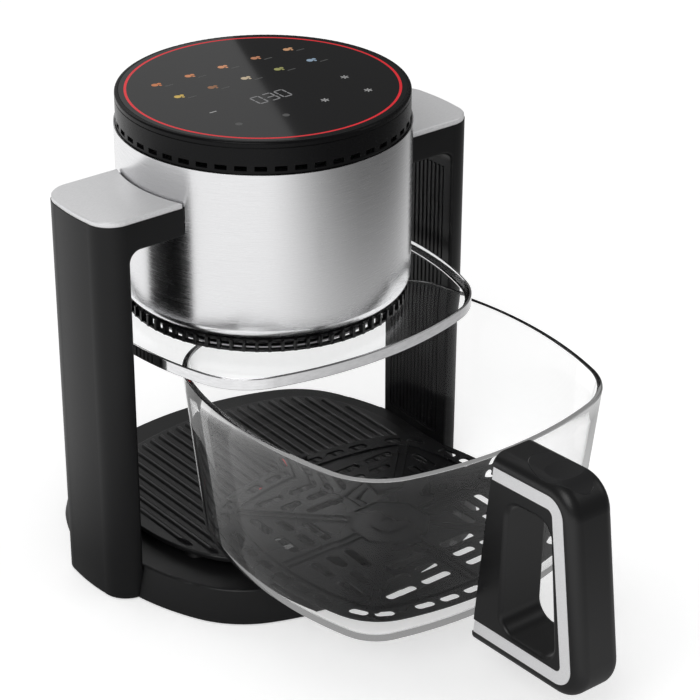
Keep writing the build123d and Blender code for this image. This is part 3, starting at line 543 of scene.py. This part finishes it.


# Floor: white to the camera and through glass, with the object's shadow.
# Reflections see painted shade instead: an emission that runs from bright on the left to dim on
# the right, and is dimmer near the object.
floor_colour, floor_glow = 0.88, 0.45
fade_reach, fade_levels = (0.0, 0.90), (1.0, 0.11)
near_centre, near_reach, near_levels = (0.0, -0.11, 0.0), (0.24, 0.40), (0.3, 1.0)
floor_material, made, links, shader = new_material("floor_white")
set_inputs(
    shader, Base_Color=(floor_colour, floor_colour, floor_colour, 1), Roughness=0.6,
    Specular_IOR_Level=0.0, Emission_Color=(1, 1, 1, 1),
)
light_path = made.new("ShaderNodeLightPath")
glow = maths(made, links, "MULTIPLY", seen(made, links, light_path), floor_glow)
links.new(glow, shader.inputs["Emission Strength"])
place = made.new("ShaderNodeTexCoord")
along = made.new("ShaderNodeVectorMath")
along.operation = "DOT_PRODUCT"
along.inputs[1].default_value = sideways
links.new(place.outputs["Object"], along.inputs[0])
# Painted shade for reflections only: the floor's mirrored emission fades from left to right and
# dims near the object.
painted_side_shade = map_range(made, links, along.outputs["Value"], fade_reach, fade_levels, "SMOOTHSTEP")
away = made.new("ShaderNodeVectorMath")
away.operation = "DISTANCE"
away.inputs[1].default_value = near_centre
links.new(place.outputs["Object"], away.inputs[0])
painted_near_shade = map_range(made, links, away.outputs["Value"], near_reach, near_levels)
painted_reflection_shade = made.new("ShaderNodeEmission")
links.new(maths(made, links, "MULTIPLY", painted_side_shade, painted_near_shade), painted_reflection_shade.inputs["Strength"])
either = made.new("ShaderNodeMixShader")
links.new(mirrored(made, links, light_path), either.inputs["Fac"])
links.new(shader.outputs["BSDF"], either.inputs[1])
links.new(painted_reflection_shade.outputs["Emission"], either.inputs[2])
links.new(either.outputs["Shader"], made["Material Output"].inputs["Surface"])

floor_data = bpy.data.meshes.new("floor")
floor_half = 6.0
floor_data.from_pydata(
    [
        (-floor_half, -floor_half, 0), (floor_half, -floor_half, 0),
        (floor_half, floor_half, 0), (-floor_half, floor_half, 0),
    ],
    [], [(0, 1, 2, 3)],
)
floor = bpy.data.objects.new("floor", floor_data)
scene.collection.objects.link(floor)
floor_data.materials.append(floor_material)

# World: a plain level for light, white for camera and glass, dim for gloss.
plain_level, white_level, gloss_level = 0.5, 1.0, 0.12
world = bpy.data.worlds.new("studio")
scene.world = world
world.use_nodes = True
made, links = world.node_tree.nodes, world.node_tree.links
background = made["Background"]
background.inputs["Color"].default_value = (1, 1, 1, 1)
light_path = made.new("ShaderNodeLightPath")
level = map_range(
    made, links, seen(made, links, light_path), (0.0, 1.0), (plain_level, white_level),
)
dim_gloss = made.new("ShaderNodeMix")
dim_gloss.data_type = "FLOAT"
links.new(mirrored(made, links, light_path), dim_gloss.inputs[0])
links.new(level, dim_gloss.inputs[2])
dim_gloss.inputs[3].default_value = gloss_level
links.new(dim_gloss.outputs[0], background.inputs["Strength"])


def card(name, centre, side, facing, along, strength):
    """A square studio card that only reflections see."""
    data = bpy.data.meshes.new(name)
    half = side / 2
    data.from_pydata(
        [(-half, -half, 0), (half, -half, 0), (half, half, 0), (-half, half, 0)],
        [], [(0, 1, 2, 3)],
    )
    piece = bpy.data.objects.new(name, data)
    scene.collection.objects.link(piece)
    across = facing.cross(along).normalized()
    turn = Matrix((along.normalized(), across, facing.normalized())).transposed()
    piece.matrix_world = Matrix.Translation(centre) @ turn.to_4x4()
    material, _, _, shader = new_material(name)
    set_inputs(
        shader, Base_Color=(0, 0, 0, 1), Roughness=1.0,
        Emission_Color=(1, 1, 1, 1), Emission_Strength=strength,
    )
    data.materials.append(material)
    for ray in ("camera", "diffuse", "transmission", "shadow", "volume_scatter"):
        setattr(piece, f"visible_{ray}", False)


def aimed(place, direction):
    """A matrix at the place whose -Z looks along the direction."""
    turn = direction.to_track_quat("-Z", "Y").to_matrix()
    return Matrix.Translation(place) @ turn.to_4x4()


def lamp(name, place, size, power):
    """A soft area lamp that shines on the middle of the object."""
    object_middle = Vector((0.0, -0.05, 0.16))
    data = bpy.data.lights.new(name, "AREA")
    data.shape = "RECTANGLE"
    data.size, data.size_y = size
    data.energy = power
    piece = bpy.data.objects.new(name, data)
    scene.collection.objects.link(piece)
    piece.matrix_world = aimed(place, object_middle - Vector(place))


lamp("key_light", (-1.3, -0.9, 1.5), (1.2, 1.2), 11.5)
lamp("fill_light", (1.5, -1.0, 1.3), (1.0, 1.0), 2.4)
lamp("back_light", (0.3, 1.5, 1.4), (1.6, 0.8), 4.5)

# Camera: the photograph's own angle, distance and framing.
camera_distance = 1.8044
camera_target = Vector((0, 0, 0.1410)) + sideways * 0.04567
camera_data = bpy.data.cameras.new("camera")
camera_data.sensor_width = 36.0
camera_data.lens = 122.63
camera_data.shift_x = 0.0331
camera = bpy.data.objects.new("camera", camera_data)
scene.collection.objects.link(camera)
camera.matrix_world = aimed(camera_target - ahead * camera_distance, ahead)
scene.camera = camera

# The display mirrors what is behind the oven: a pale card fills its left half.
display_middle = Vector((0, 0, display_top))
behind = (display_middle - camera.matrix_world.translation).normalized()
behind.z = -behind.z
card_side, card_distance, card_strength = 3.2, 1.6, 0.42
card_lean = math.radians(-31.0)
card_right = Vector((behind.y, -behind.x, 0)).normalized()
card_up = card_right.cross(behind)
card_edge = card_right * math.cos(card_lean) + card_up * math.sin(card_lean)
card_middle = display_middle + behind * card_distance - card_edge * card_side / 2
card("sheen_card", card_middle, card_side, behind, card_edge, card_strength)

scene.view_settings.view_transform = "Standard"

# The glass casts no shadow, which lets the lamps through it.
for piece in (smooth_bowl, nodes["glass_lid"]):
    piece.visible_shadow = False

# Kept out of every reflection, because the photograph's drum shows none of them.
smooth_bowl.visible_glossy = False
for name in ("handle_loop", "left_handle_band", "right_handle_band", "release_button"):
    nodes[name].visible_glossy = False
